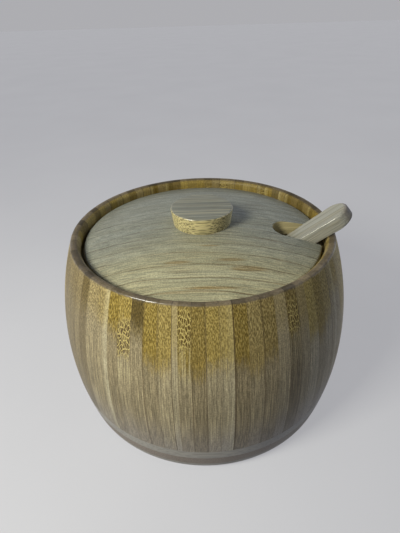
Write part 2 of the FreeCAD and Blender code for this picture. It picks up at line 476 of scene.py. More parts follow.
def new_material(name):
    """A material with only its Principled BSDF."""
    material = bpy.data.materials.new(name)
    material.use_nodes = True
    return material, Tree(material.node_tree), material.node_tree.nodes["Principled BSDF"].inputs


def satin(tree, surface, place, pores, **ends):
    """Give a surface the lacquer's roughness."""
    finish = tree.use(satin_lacquer, Place=place, Pores=pores, **ends)
    tree.put(surface["Roughness"], finish["Roughness"])


def relief(tree, surface, height, strength):
    """Give a surface a bump of a few hundredths of a millimetre."""
    inputs = {"Height": height, "Strength": strength, "Distance": relief_depth}
    tree.put(surface["Normal"], tree.node("ShaderNodeBump", inputs).outputs["Normal"])


def glint(tree, surface, mask):
    """Give a worn edge a smoother coat, which catches the light."""
    tree.put(surface["Coat Weight"], mask)
    surface["Coat Roughness"].default_value = lacquer_edge_roughness


def figured(tree, colour, grain, dark, pale, straw=net_pale):
    """Darken a colour in the grain's flecks and turn it to pale straw in the net between them."""
    darker = tree.minus(1.0, tree.times(grain["Flecks"], dark))
    return tree.mix(tree.times(grain["Net"], pale), tree.shade(colour, darker), straw)


def speckled(tree, colour, place):
    """Vary a colour by fine specks."""
    return tree.vary(colour, tree.noise(place, speckle_scale), *speckle_range)


lamination_width = 4.7
bundle_squeeze = 0.75
bundle_spacing_range = (0.26, 0.36)
slow_wander = 14.0
quick_wander = 3.0
# Belly and foot colours: the bamboo's tone with a painted reflection, paler over the belly and greyer,
# cooler at the foot
belly_tone_and_reflection = (0.312, 0.265, 0.168, 1.0)
foot_tone_and_reflection = (0.3, 0.27, 0.232, 1.0)
foot_fade = (38.0, 14.0)
stave_gold = (0.29, 0.208, 0.042, 1.0)
gold_fade = (-5.0, 5.0)
tone_range = (0.55, 1.75)
dark_tint = (1.06, 0.98, 0.84, 1.0)
pale_tint = (0.96, 1.02, 1.1, 1.0)
fibre_range = (0.86, 1.14)
net_straw = (0.5, 0.43, 0.27, 1.0)
net_gold = (0.52, 0.41, 0.13, 1.0)
net_tone_range = (0.75, 1.35)
inner_face_fade = (50.3, 49.4)
# How much darker the inside of the wall is painted: a painted shade
painted_inner_shade_range = (1.0, 0.8)

threads_in_millimetre = 3.0
thread_stretch = 0.07
thread_shift = 60.0
thread_fade = (0.32, 0.68)
thread_middle = 46.0
belly_fade = (22.0, 10.0)
thread_depth_range = (0.08, 0.62)

fleck_dark_range = (0.45, 0.58)
fleck_pale_range = (0.3, 0.45)
belly_calm_range = (1.0, 0.45)
inside_calm_range = (1.0, 0.4)
foot_calm_range = (1.0, 0.5)
plain_calm_range = (1.0, 0.3)
pore_depth = 0.6

stain_brown = (0.085, 0.06, 0.017, 1.0)
stain_fade = (63.0, 73.0)
stain_range = (1.4, 0.6)
knot_line = (0.56, 0.45, 0.16, 1.0)
knot_cell = (0.075, 0.043, 0.012, 1.0)
knot_fade = (8.0, 4.0)
knot_scale = 1.35
knot_stretch = 0.38
knot_wander = 1.4
knot_wander_scale = 0.5
knot_line_fade = (0.05, 0.16)
knot_cell_fade = (-0.2, 0.15)
streak_straw = (0.55, 0.48, 0.28, 1.0)
streak_share = 0.45
streak_drop = 11.0
streak_fade = (8.0, 3.0)
streak_thread_fade = (0.35, 0.7)

band_straw = (0.52, 0.47, 0.32, 1.0)
band_gold = (0.54, 0.44, 0.18, 1.0)
band_fade = (0.45, 0.85)
band_fibre_range = (0.4, 1.0)
glue_brown = (0.075, 0.05, 0.025, 1.0)
glue_fade = (0.15, 0.05)
rim_brown = (0.122, 0.095, 0.062, 1.0)
rim_glue = (0.03, 0.022, 0.015, 1.0)
rim_fade = (76.9, 77.4)
rim_share = 0.9
rim_speck_scale = 1.3
rim_speck_range = (0.2, 1.8)
rim_tone_range = (0.36, 2.0)
rim_edge_fade = (76.5, 76.9)
rim_edge_radius_fade = (50.2, 50.5)
worn_scale = 0.5
worn_fade = (0.4, 0.55)


def stave_knots(tree, colour, place, lane, over_knot, share, thread):
    """Nodes of the bamboo: pale lines round dark cells, a Voronoi net, and pale streaks under it."""
    z = tree.parts(place)["Z"]
    near = tree.times(tree.step(tree.size(over_knot), *knot_fade), share)
    wandering = tree.plus(lane, tree.times(tree.noise(place, knot_wander_scale, 1.0), knot_wander))
    net_place = tree.join(wandering, tree.times(z, knot_stretch), 0.0)
    from_line = tree.cells(net_place, knot_scale, "DISTANCE_TO_EDGE").outputs["Distance"]
    kind = tree.parts(tree.cells(net_place, knot_scale, "F1").outputs["Color"])["X"]
    dark = tree.times(tree.step(from_line, *knot_line_fade), tree.step(kind, *knot_cell_fade))
    colour = tree.mix(near, colour, tree.mix(dark, knot_line, knot_cell))
    under = tree.step(tree.size(tree.plus(over_knot, streak_drop)), *streak_fade)
    streaks = tree.times(under, share, tree.step(thread, *streak_thread_fade))
    return tree.mix(tree.times(streaks, streak_share), colour, streak_straw)


def stave_material():
    """Bamboo staves: each lamination its own tone. Gold towards the rim, paler over the belly and greyer
    at the foot, partly the bamboo's tone and partly a painted reflection.

    The heights of the gold, the foot and the stain wander with the grain. Threads are fine long lines over
    the belly. The rim's top is end grain, and its outer edge is worn smooth in places.
    """
    material, tree, surface = new_material("stave_bamboo")
    place = tree.place()
    x, y, z = tree.parts(place)
    tone, coarse, shift = tree.parts(tree.own("lamination").outputs["Vector"])
    knot_height, knot_share, stain_share = tree.parts(tree.own("knot").outputs["Vector"])
    gold_end, gold_share, plain = tree.parts(tree.own("gold").outputs["Vector"])
    glue_share, band_share = tree.parts(tree.own("edges").outputs["Vector"])[:2]
    across = tree.own("across").outputs["Fac"]
    radius = tree.length(x, y)
    lane = tree.times(across, lamination_width)
    bundles = tree.join(lane, tree.times(radius, bundle_squeeze), z)
    spacing = tree.spread(coarse, *bundle_spacing_range)
    grain = tree.use(bamboo_grain, Place=bundles, Spacing=spacing, Run=90.0, Shift=shift)

    slow = tree.times(tree.minus(grain["Cloud"], 0.5), slow_wander)
    quick = tree.times(tree.minus(grain["Fibres"], 0.5), quick_wander)
    level = tree.plus(z, tree.plus(slow, quick))
    gold = tree.times(tree.step(tree.minus(level, gold_end), *gold_fade), gold_share)
    foot = tree.step(level, *foot_fade)
    inside = tree.step(radius, *inner_face_fade)
    belly = tree.step(tree.size(tree.minus(z, thread_middle)), *belly_fade)
    # Gold towards the rim, paler belly and greyer foot: partly the bamboo's tone, partly a painted
    # reflection
    colour = tree.mix(gold, tree.mix(foot, belly_tone_and_reflection, foot_tone_and_reflection), stave_gold)
    colour = tree.vary(colour, tone, *tone_range)
    colour = tree.mix(1.0, colour, tree.mix(tone, dark_tint, pale_tint), "MULTIPLY")
    colour = tree.vary(colour, grain["Fibres"], *fibre_range)

    thread_lane = tree.plus(tree.times(lane, threads_in_millimetre), tree.times(shift, thread_shift))
    thread_place = tree.join(thread_lane, tree.times(z, thread_stretch), shift)
    thread = tree.step(tree.noise(thread_place, 1.0, 3.0), *thread_fade)
    depth = tree.times(tree.minus(thread, 0.5), tree.spread(belly, *thread_depth_range))
    colour = tree.shade(colour, tree.plus(1.0, depth))

    # Flecks are weaker over the belly, inside, at the foot and in plain laminations
    calm = tree.times(
        tree.spread(belly, *belly_calm_range),
        tree.spread(inside, *inside_calm_range),
        tree.spread(foot, *foot_calm_range),
        tree.spread(plain, *plain_calm_range),
    )
    dark = tree.times(tree.spread(gold, *fleck_dark_range), calm)
    pale = tree.times(tree.spread(gold, *fleck_pale_range), calm)
    straw = tree.vary(tree.mix(gold, net_straw, net_gold), tone, *net_tone_range)
    colour = figured(tree, colour, grain, dark, pale, straw)

    stain = tree.times(tree.step(level, *stain_fade), stain_share)
    colour = tree.mix(stain, colour, tree.vary(stain_brown, grain["Flecks"], *stain_range))
    over_knot = tree.minus(level, knot_height)
    colour = stave_knots(tree, colour, place, lane, over_knot, knot_share, thread)
    fibrous = tree.spread(grain["Fibres"], *band_fibre_range)
    band = tree.times(tree.step(across, *band_fade), band_share, fibrous)
    colour = tree.mix(band, colour, tree.mix(gold, band_straw, band_gold))
    colour = speckled(tree, colour, place)
    glue = tree.times(tree.step(across, *glue_fade), glue_share)
    colour = tree.mix(glue, colour, glue_brown)
    # Painted shade: the inside of the wall is darker
    colour = tree.vary(colour, inside, *painted_inner_shade_range)

    rim = tree.vary(rim_brown, tree.noise(place, rim_speck_scale), *rim_speck_range)
    rim = tree.mix(glue, tree.vary(rim, tone, *rim_tone_range), rim_glue)
    end_grain = tree.step(z, *rim_fade)
    colour = tree.mix(tree.times(end_grain, rim_share), colour, rim)
    tree.put(surface["Base Color"], colour)
    satin(tree, surface, place, grain["Flecks"])
    outer_edge = tree.times(tree.step(z, *rim_edge_fade), tree.step(radius, *rim_edge_radius_fade))
    worn = tree.step(tree.noise(place, worn_scale, 3.0), *worn_fade)
    glint(tree, surface, tree.times(outer_edge, worn))
    pores = tree.times(grain["Flecks"], pore_depth)
    relief(tree, surface, tree.minus(grain["Fibres"], pores), strength=0.35)
    surface["Specular IOR Level"].default_value = 0.16
    return material


pale_ply = (0.365, 0.342, 0.3, 1.0)
brown_ply = (0.25, 0.205, 0.165, 1.0)
ply_fibre_range = (0.94, 1.06)
ply_cloud_range = (0.85, 1.15)


def ply_material(name, along_x):
    """A ply of the base. Its fibres run along X or along Y, so half its edge shows end grain."""
    material, tree, surface = new_material(name)
    place = tree.place()
    x, y, z = tree.parts(place)
    fibres = tree.join(y, z, x) if along_x else tree.join(x, z, y)
    shift = 0.3 if along_x else 0.8
    grain = tree.use(bamboo_grain, Place=fibres, Spacing=0.6, Run=60.0, Shift=shift)
    colour = figured(tree, pale_ply if along_x else brown_ply, grain, dark=0.22, pale=0.06)
    colour = tree.vary(colour, grain["Fibres"], *ply_fibre_range)
    colour = tree.vary(colour, grain["Cloud"], *ply_cloud_range)
    tree.put(surface["Base Color"], colour)
    satin(tree, surface, place, grain["Flecks"])
    relief(tree, surface, grain["Fibres"], strength=0.3)
    surface["Specular IOR Level"].default_value = 0.18
    return material


# Brown patches on the lid where the bamboo had a node: middle along X and Y, half length, half width
lid_patches = (
    (10.0, -26.4, 5.5, 0.9),
    (15.5, -30.9, 6.5, 1.5),
    (-9.0, -27.3, 5.0, 0.8),
    (3.0, -39.8, 10.0, 0.7),
    (2.5, -18.4, 4.0, 0.5),
)
patch_brown = (0.22, 0.145, 0.05, 1.0)
patch_fade = (1.4, 0.1)
patch_fibre_range = (0.5, 1.0)
layer_slope = 1.1
layer_skew = 0.03
layer_wander = 3.0
wander_scale = 0.11
wander_stretch = 0.25
layer_squeeze = 0.4
lid_cream = (0.385, 0.37, 0.243, 1.0)
lid_tan = (0.345, 0.327, 0.206, 1.0)
lid_fibre_range = (0.93, 1.07)
tan_scale = 0.17
tan_stretch = 0.01
tan_level = 7.0
tan_fade = (0.35, 0.7)
line_brown = (0.2, 0.155, 0.085, 1.0)
line_share = 0.42
line_scale = 2.6
line_stretch = 0.025
line_fade = (0.55, 0.6)
ring_brown = (0.17, 0.13, 0.07, 1.0)
ring_share = 0.75
ring_spacing = 5.2
ring_fade = (0.06, 0.02)
ring_wobble = 0.3
ring_patch_scale = 0.1
ring_patch_stretch = 0.3
ring_patch_level = 3.0
ring_patch_fade = (0.3, 0.5)
# The lid's back is painted darker and bluer: a painted shade with a cool cast
painted_back_shade_tint = (0.67, 0.725, 0.92, 1.0)
back_shade_fade = (-30.0, 4.0)
back_shade_bow = 0.35
cut_gold = (0.44, 0.375, 0.2, 1.0)
cut_fade = (0.75, 0.35)
cut_fibre_range = (0.8, 1.2)


def lid_patch_mask(tree, x, y):
    """1 in the middle of each patch, 0 outside its ellipse."""
    mask = 0.0
    for middle_x, middle_y, half_length, half_width in lid_patches:
        aside = tree.math("DIVIDE", tree.minus(x, middle_x), half_length)
        ahead = tree.math("DIVIDE", tree.minus(y, middle_y), half_width)
        square = tree.plus(tree.times(aside, aside), tree.times(ahead, ahead))
        mask = tree.math("MAXIMUM", mask, tree.step(square, *patch_fade))
    return mask


def lid_material():
    """The lid: growth layers on slanting planes that the dome cuts into arched lines along X.

    Lines are fine noise across the layers, and rings are thin dark layers at even steps that fade in and
    out. The lid's back is painted darker and bluer, a painted shade, and upright cuts such as the notch's
    wall are golden.
    """
    material, tree, surface = new_material("lid_bamboo")
    place = tree.place()
    x, y, z = tree.parts(place)
    wander = tree.noise(tree.join(tree.times(x, wander_stretch), y, z), wander_scale)
    tilt = tree.minus(tree.times(x, layer_skew), tree.times(z, layer_slope))
    layer = tree.plus(y, tilt, tree.times(wander, layer_wander))
    fibres = tree.join(layer, tree.times(z, layer_squeeze), x)
    grain = tree.use(bamboo_grain, Place=fibres, Spacing=0.36, Run=60.0, Shift=0.55)
    fine = tree.noise(tree.join(layer, tree.times(x, line_stretch), 0.0), line_scale, 3.0)
    broad = tree.noise(tree.join(layer, tree.times(x, tan_stretch), tan_level), tan_scale)
    lines = tree.step(fine, *line_fade)
    count = tree.math("DIVIDE", tree.plus(layer, tree.times(fine, ring_wobble)), ring_spacing)
    offset = tree.size(tree.minus(tree.math("FRACT", count), 0.5))
    ring_place = tree.join(tree.times(x, ring_patch_stretch), y, ring_patch_level)
    clear = tree.step(tree.noise(ring_place, ring_patch_scale), *ring_patch_fade)
    rings = tree.times(tree.step(offset, *ring_fade), clear)
    colour = tree.mix(tree.step(broad, *tan_fade), lid_cream, lid_tan)
    colour = tree.mix(tree.times(lines, line_share), colour, line_brown)
    colour = tree.mix(tree.times(rings, ring_share), colour, ring_brown)
    fibrous = tree.spread(grain["Fibres"], *patch_fibre_range)
    colour = tree.mix(tree.times(lid_patch_mask(tree, x, y), fibrous), colour, patch_brown)
    colour = figured(tree, colour, grain, dark=0.26, pale=0.2)
    # Painted shade: the lid turns darker and bluer towards the back
    painted_back_shade = tree.step(tree.plus(y, tree.times(tree.size(x), back_shade_bow)), *back_shade_fade)
    colour = tree.mix(painted_back_shade, colour, tree.mix(1.0, colour, painted_back_shade_tint, "MULTIPLY"))
    colour = tree.vary(colour, grain["Fibres"], *lid_fibre_range)
    colour = speckled(tree, colour, place)
    facing_up = tree.parts(tree.node("ShaderNodeNewGeometry").outputs["Normal"])["Z"]
    cut = tree.step(tree.size(facing_up), *cut_fade)
    colour = tree.mix(cut, colour, tree.vary(cut_gold, grain["Fibres"], *cut_fibre_range))
    tree.put(surface["Base Color"], colour)
    satin(tree, surface, place, lines)
    relief(tree, surface, grain["Fibres"], strength=0.25)
    surface["Specular IOR Level"].default_value = 0.16
    return material


knob_side_gold = (0.52, 0.45, 0.22, 1.0)
knob_top_grey = (0.212, 0.218, 0.18, 1.0)
knob_fibre_range = (0.85, 1.15)
knob_line_brown = (0.13, 0.1, 0.055, 1.0)
knob_line_scale = 2.6
knob_line_squeeze = 0.5
knob_line_stretch = 0.04
knob_line_fade = (0.5, 0.66)
knob_line_range = (0.3, 0.42)
knob_dark_range = (0.62, 0.3)
knob_pale_range = (0.3, 0.2)
knob_top_fade = (85.1, 85.45)
knob_edge_low_fade = (84.95, 85.1)
knob_edge_high_fade = (85.49, 85.44)


def knob_material():
    """The knob: fibres along X, straight lines on its top, flecks round its side, a smooth top edge."""
    material, tree, surface = new_material("knob_bamboo")
    place = tree.place()
    x, y, z = tree.parts(place)
    grain = tree.use(bamboo_grain, Place=tree.join(y, z, x), Spacing=0.62, Run=80.0, Shift=0.17)
    line_place = tree.join(y, tree.times(z, knob_line_squeeze), tree.times(x, knob_line_stretch))
    lines = tree.step(tree.noise(line_place, knob_line_scale, 3.0), *knob_line_fade)
    top = tree.step(z, *knob_top_fade)
    colour = tree.mix(top, knob_side_gold, knob_top_grey)
    dark_lines = tree.times(lines, tree.spread(top, *knob_line_range))
    colour = tree.mix(dark_lines, colour, knob_line_brown)
    dark = tree.spread(top, *knob_dark_range)
    pale = tree.spread(top, *knob_pale_range)
    colour = figured(tree, colour, grain, dark, pale)
    colour = tree.vary(colour, grain["Fibres"], *knob_fibre_range)
    tree.put(surface["Base Color"], colour)
    satin(tree, surface, place, grain["Flecks"])
    relief(tree, surface, grain["Fibres"], strength=0.3)
    glint(tree, surface, tree.times(tree.step(z, *knob_edge_low_fade), tree.step(z, *knob_edge_high_fade)))
    surface["Specular IOR Level"].default_value = 0.3
    return material


dowel_straw = (0.4, 0.33, 0.2, 1.0)
dowel_fleck = (0.2, 0.14, 0.07, 1.0)
dowel_fleck_share = 0.4
dowel_fibre_range = (0.8, 1.2)


def dowel_material():
    """The knob's dowel: fibres along Z, matt."""
    material, tree, surface = new_material("dowel_bamboo")
    place = tree.place()
    grain = tree.use(bamboo_grain, Place=place, Spacing=0.8, Run=40.0, Shift=0.9)
    colour = tree.mix(tree.times(grain["Flecks"], dowel_fleck_share), dowel_straw, dowel_fleck)
    tree.put(surface["Base Color"], tree.vary(colour, grain["Fibres"], *dowel_fibre_range))
    satin(tree, surface, place, grain["Flecks"], Smooth=0.55, Rough=0.7)
    return material


spoon_pale = (0.315, 0.308, 0.26, 1.0)
spoon_tan = (0.28, 0.263, 0.203, 1.0)
spoon_fibre_range = (0.88, 1.12)
spoon_ring_scale = 0.8
spoon_ring_stretch = 0.02
spoon_ring_fade = (0.42, 0.68)
# The tip's colour: end grain, and partly a painted shade
tip_grain_and_shade = (0.22, 0.195, 0.165, 1.0)
tip_grain_and_shade_share = 0.8
spoon_end_depths = (1.1, 0.5)
spoon_end_reaches = (0.35, 0.85)
spoon_edge_near_fade = (0.02, 0.07)
spoon_edge_far_fade = (0.6, 0.4)


def spoon_frame(tree):
    """The point on the spoon turned back to its own length, width and thickness."""
    unturn = (0.0, 0.0, math.radians(-spoon_turn))
    unlean = (0.0, math.radians(spoon_slope), 0.0)
    unturned = tree.node("ShaderNodeMapping", {"Vector": tree.place(), "Rotation": unturn}).outputs[0]
    return tree.node("ShaderNodeMapping", {"Vector": unturned, "Rotation": unlean}).outputs[0]


def spoon_material():
    """Plain sanded wood: fine long grain, a darker tip that is end grain and partly painted shade, edges
    rubbed smooth.
    """
    material, tree, surface = new_material("spoon_wood")
    along, wide, thick = tree.parts(spoon_frame(tree))
    fibres = tree.join(wide, thick, along)
    grain = tree.use(bamboo_grain, Place=fibres, Spacing=0.5, Run=70.0, Shift=0.42)
    ring_place = tree.join(wide, thick, tree.times(along, spoon_ring_stretch))
    rings = tree.step(tree.noise(ring_place, spoon_ring_scale, 3.0), *spoon_ring_fade)
    colour = tree.mix(rings, spoon_pale, spoon_tan)
    colour = figured(tree, colour, grain, dark=0.22, pale=0.1)
    lean = math.radians(spoon_slope)
    foot_along = spoon_foot[0] * math.cos(lean) + spoon_foot[1] * math.sin(lean)
    foot_thick = spoon_foot[1] * math.cos(lean) - spoon_foot[0] * math.sin(lean)
    ahead = tree.minus(along, tip_station - tip_radius + foot_along)
    edge_fade = [tip_radius - depth for depth in spoon_end_depths]
    reach_fade = [tip_radius * reach for reach in spoon_end_reaches]
    at_edge = tree.step(tree.length(ahead, wide), *edge_fade)
    end_grain = tree.times(at_edge, tree.step(ahead, *reach_fade))
    # Darker round the tip: end grain, partly a painted shade
    colour = tree.mix(tree.times(end_grain, tip_grain_and_shade_share), colour, tip_grain_and_shade)
    colour = tree.vary(colour, grain["Fibres"], *spoon_fibre_range)
    tree.put(surface["Base Color"], colour)
    satin(tree, surface, fibres, grain["Flecks"], Smooth=0.46, Rough=0.62)
    relief(tree, surface, grain["Fibres"], strength=0.3)
    below_top = tree.minus(foot_thick, thick)
    near = tree.step(below_top, *spoon_edge_near_fade)
    far = tree.step(below_top, *spoon_edge_far_fade)
    glint(tree, surface, tree.times(near, far))
    surface["Specular IOR Level"].default_value = 0.25
    return material


floor_dark = (0.24, 0.24, 0.25, 1.0)
floor_light = (0.26, 0.26, 0.27, 1.0)
floor_bounce = (0.085, 0.097, 0.155, 1.0)
floor_cloud_scale = 0.01
floor_roughness = 0.8
floor_glow = 1.5
no_light = (0.0, 0.0, 0.0, 1.0)


def background_rays(tree):
    """1 for rays that show the background: to the camera, by a reflection or through a piece."""
    rays = tree.node("ShaderNodeLightPath").outputs
    mirrored = tree.math("MAXIMUM", rays["Is Glossy Ray"], rays["Is Transmission Ray"])
    return tree.math("MAXIMUM", rays["Is Camera Ray"], mirrored)


def floor_material():
    """A plain floor, pale to the eye and darker to the light that it throws back on the box."""
    material, tree, surface = new_material("pale_floor")
    pale = tree.mix(tree.noise(tree.place(), floor_cloud_scale, 3.0), floor_dark, floor_light)
    seen = background_rays(tree)
    tree.put(surface["Base Color"], tree.mix(seen, floor_bounce, pale))
    tree.put(surface["Emission Color"], tree.mix(seen, no_light, pale))
    surface["Emission Strength"].default_value = floor_glow
    surface["Roughness"].default_value = floor_roughness
    return material


# Staves

def stave_layout():
    """Start, glue line and end of every stave, from the closing strip round to it again."""
    first = right_seams[-1]
    last = left_seams[0] + 360.0
    back = np.linspace(first, last, back_stave_count + 1)
    left = np.array(left_seams + (closing_seam,)) + 360.0
    seams = np.concatenate([right_seams, back[1:], left[1:]])
    back_lines = (back[:-1] + back[1:]) / 2
    lines = np.concatenate([right_glue_lines, back_lines, np.array(left_glue_lines) + 360.0])
    return seams, lines


# Looks of the front laminations: tone from 0, dark, to 1, pale; lower end and strength of the gold;
# height and strength of the fleck patch at a node; strength of a dark stain at the rim, of the glue
# line at its first edge and of a pale band at its last edge; and how plain it is, from 0 to 1. The
# other laminations come from a seeded spread.
right_looks = (
    (0.34, 57.0, 0.9, 69.0, 0.8, 0.0, 0.2, 0.0, 0.0),
    (0.2, 57.0, 0.85, 0.0, 0.0, 0.0, 0.3, 0.0, 0.0),
    (0.44, 58.0, 0.85, 0.0, 0.0, 0.0, 0.6, 0.0, 0.1),
    (0.54, 58.0, 0.75, 0.0, 0.0, 0.0, 0.3, 0.3, 0.2),
    (0.15, 57.0, 0.9, 0.0, 0.0, 0.0, 0.7, 0.0, 0.0),
    (0.32, 57.0, 0.6, 0.0, 0.0, 0.0, 0.2, 0.0, 0.0),
    (0.22, 58.0, 0.65, 0.0, 0.0, 0.0, 0.5, 0.0, 0.0),
    (0.42, 68.0, 0.35, 0.0, 0.0, 0.0, 0.2, 0.0, 0.4),
    (0.02, 62.0, 0.7, 69.0, 0.6, 0.0, 0.3, 0.0, 0.0),
    (0.4, 66.0, 0.5, 0.0, 0.0, 0.0, 0.5, 0.0, 0.4),
)
left_looks = (
    (0.04, 66.0, 0.3, 0.0, 0.0, 0.0, 0.4, 0.0, 0.3),
    (0.1, 66.0, 0.3, 0.0, 0.0, 0.0, 0.5, 0.0, 0.3),
    (0.05, 67.0, 0.3, 0.0, 0.0, 0.0, 0.3, 0.0, 0.3),
    (0.14, 67.0, 0.3, 0.0, 0.0, 0.0, 0.5, 0.0, 0.3),
    (0.0, 66.0, 0.4, 0.0, 0.0, 0.6, 0.4, 0.0, 0.3),
    (0.32, 68.0, 0.4, 0.0, 0.0, 0.0, 0.2, 0.0, 0.0),
    (0.34, 67.0, 0.5, 0.0, 0.0, 0.0, 0.1, 0.7, 0.0),
    (0.21, 65.0, 1.0, 0.0, 0.0, 0.0, 0.1, 0.0, 0.0),
    (0.36, 68.0, 0.9, 63.5, 0.8, 0.0, 0.1, 0.0, 0.0),
    (0.32, 68.0, 0.3, 0.0, 0.0, 1.0, 0.2, 0.0, 0.1),
    (0.28, 57.0, 0.95, 0.0, 0.0, 0.0, 0.5, 0.0, 0.0),
    (0.44, 57.0, 0.8, 0.0, 0.0, 0.0, 0.4, 0.0, 0.0),
)
closing_look = (0.56, 62.0, 0.45, 0.0, 0.0, 0.0, 0.9, 0.0, 0.8)
looks_seed = 11


def lamination_looks(count):
    """One row of looks for each lamination, with the coarseness and the shift of its grain at the end."""
    random = np.random.default_rng(looks_seed)
    tone = np.clip(random.normal(0.32, 0.2, count), 0.0, 0.8)
    gold_end = random.normal(60.0, 3.5, count)
    gold_share = random.uniform(0.5, 1.0, count)
    knot_height = random.uniform(62.0, 70.0, count)
    knot_share = np.where(random.uniform(0.0, 1.0, count) > 0.85, 0.8, 0.0)
    stain = np.where(random.uniform(0.0, 1.0, count) > 0.9, 0.7, 0.0)
    glue = random.uniform(0.0, 0.6, count) ** 2 * 2.0
    band = np.where(random.uniform(0.0, 1.0, count) > 0.85, 0.5, 0.0)
    plain = random.uniform(0.0, 0.5, count)
    coarse = random.uniform(0.0, 1.0, count)
    shift = random.uniform(0.0, 1.0, count)
    columns = [
        tone, gold_end, gold_share, knot_height, knot_share, stain, glue, band, plain, coarse, shift
    ]
    looks = np.stack(columns, axis=1)
    given = len(closing_look)
    looks[:len(right_looks), :given] = right_looks
    looks[-len(left_looks):, :given] = left_looks
    return looks


# Attributes that the material reads, with the columns of looks that they hold. A vector has three places,
# so the last column of edges fills two.
look_attributes = {
    "lamination": (0, 9, 10),
    "knot": (3, 4, 5),
    "gold": (1, 2, 8),
    "edges": (6, 7, 7),
}


def add_stave(name, edges, looks, material):
    """A stave over the angles between its edges, with one lamination from each edge to the next."""
    profile = wall_profile()
    spans = zip(edges[:-1], edges[1:])
    steps = [np.linspace(start, end, columns_in_lamination + 1) for start, end in spans]
    angles = np.concatenate([steps[0]] + [step[1:] for step in steps[1:]])
    shape = capped_tube(about_axis(profile, angles))
    mesh = add_piece(name + "_bamboo", shape, material, name, "pot").data
    laminations = len(edges) - 1
    of_face = np.repeat(np.arange(laminations), columns_in_lamination * len(profile))
    of_face = np.concatenate([of_face, [0, laminations - 1]])
    for label, columns in look_attributes.items():
        layer = mesh.attributes.new(label, "FLOAT_VECTOR", "FACE")
        layer.data.foreach_set("vector", looks[np.ix_(of_face, columns)].ravel())
    share = np.tile(np.linspace(0.0, 1.0, columns_in_lamination + 1)[:-1], laminations)
    low = np.repeat(share, len(profile))
    high = low + 1.0 / columns_in_lamination
    corners = np.stack([low, high, high, low], axis=1).ravel()
    caps = np.full(2 * len(profile), 0.5)
    layer = mesh.attributes.new("across", "FLOAT", "CORNER")
    layer.data.foreach_set("value", np.concatenate([corners, caps]))


def add_staves():
    """All staves with two laminations each, and the closing strip with one."""
    seams, lines = stave_layout()
    material = stave_material()
    looks = lamination_looks(2 * len(lines))
    for index, line in enumerate(lines):
        edges = (seams[index], line, seams[index + 1])
        add_stave("stave_%02d" % (index + 1), edges, looks[2 * index:2 * index + 2], material)
    closing = looks[:1].copy()
    closing[0, :len(closing_look)] = closing_look
    add_stave("closing_strip", (seams[-1], seams[0] + 360.0), closing, material)


# Base

def ply_profile(index):
    """Section of a ply from the axis at its top to the axis at its bottom."""
    low = index * ply_thickness
    high = low + ply_thickness
    high_angle = arc_angle(high, outer_radius)
    if index:
        side = bend(outer_centre, outer_radius, high_angle, arc_angle(low, outer_radius), ply_side_steps)
    else:
        reach = outer_radius - foot_rounding
        touch = arc_angle(foot_rounding, reach)
        foot = (outer_centre[0] + reach * math.cos(math.radians(touch)), foot_rounding)
        side = np.vstack([
            bend(outer_centre, outer_radius, high_angle, touch, foot_side_steps)[:-1],
            bend(foot, foot_rounding, touch, -90.0, foot_steps),
        ])
    top = [(ring, high) for ring in ply_rings]
    underside = [(ring, low) for ring in reversed(ply_rings)]
    return np.vstack([top, side, underside])


def add_base():
    """Three turned plies, the middle one with its fibres across the others."""
    for index, name in enumerate(ply_names):
        node = "base_ply_" + name
        material = ply_material(node, along_x=index != 1)
        shape = turned_solid(ply_profile(index), ply_segments)
        add_piece(node + "_bamboo", shape, material, node, "pot")


# Lid

ball_height = (
    (lid_radius ** 2 - knob_land_radius ** 2 + lid_edge_top ** 2 - lid_top ** 2)
    / (2 * (lid_edge_top - lid_top))
)
ball_radius = math.hypot(lid_radius, lid_edge_top - ball_height)
edge_reach = lid_radius - lid_edge_rounding
edge_height = ball_height + math.sqrt((ball_radius - lid_edge_rounding) ** 2 - edge_reach ** 2)
edge_touch = edge_reach * ball_radius / (ball_radius - lid_edge_rounding)


def lid_height(radius):
    """Top of the lid: a ball's cap, flat under the knob, and a quarter round at the edge."""
    dome = ball_height + np.sqrt(ball_radius ** 2 - radius ** 2)
    beyond = np.clip(lid_edge_rounding ** 2 - (radius - edge_reach) ** 2, 0.0, None)
    edge = edge_height + np.sqrt(beyond)
    return np.minimum(np.where(radius < edge_touch, dome, edge), lid_top)


def notch_outline():
    """The notch seen from above: a straight wall, a round end and a wall that flares the other way."""
    flare = math.radians(notch_spread)
    end = np.radians(np.linspace(270.0 - notch_spread, 90.0 + notch_spread, notch_end_points))
    arc = np.stack([np.cos(end), np.sin(end)], axis=1) * notch_end_radius + [notch_end_reach, 0.0]
    run = np.linspace(0.0, notch_run, notch_wall_points)[1:, None]
    right = arc[0] + run * [math.cos(flare), -math.sin(flare)]
    left = arc[-1] + run * [math.cos(flare), math.sin(flare)]
    outline = np.vstack([right[::-1], arc, left])
    turn = math.radians(notch_front_angle - 90.0)
    return np.stack([
        outline[:, 0] * math.cos(turn) - outline[:, 1] * math.sin(turn),
        outline[:, 0] * math.sin(turn) + outline[:, 1] * math.cos(turn),
    ], axis=1)


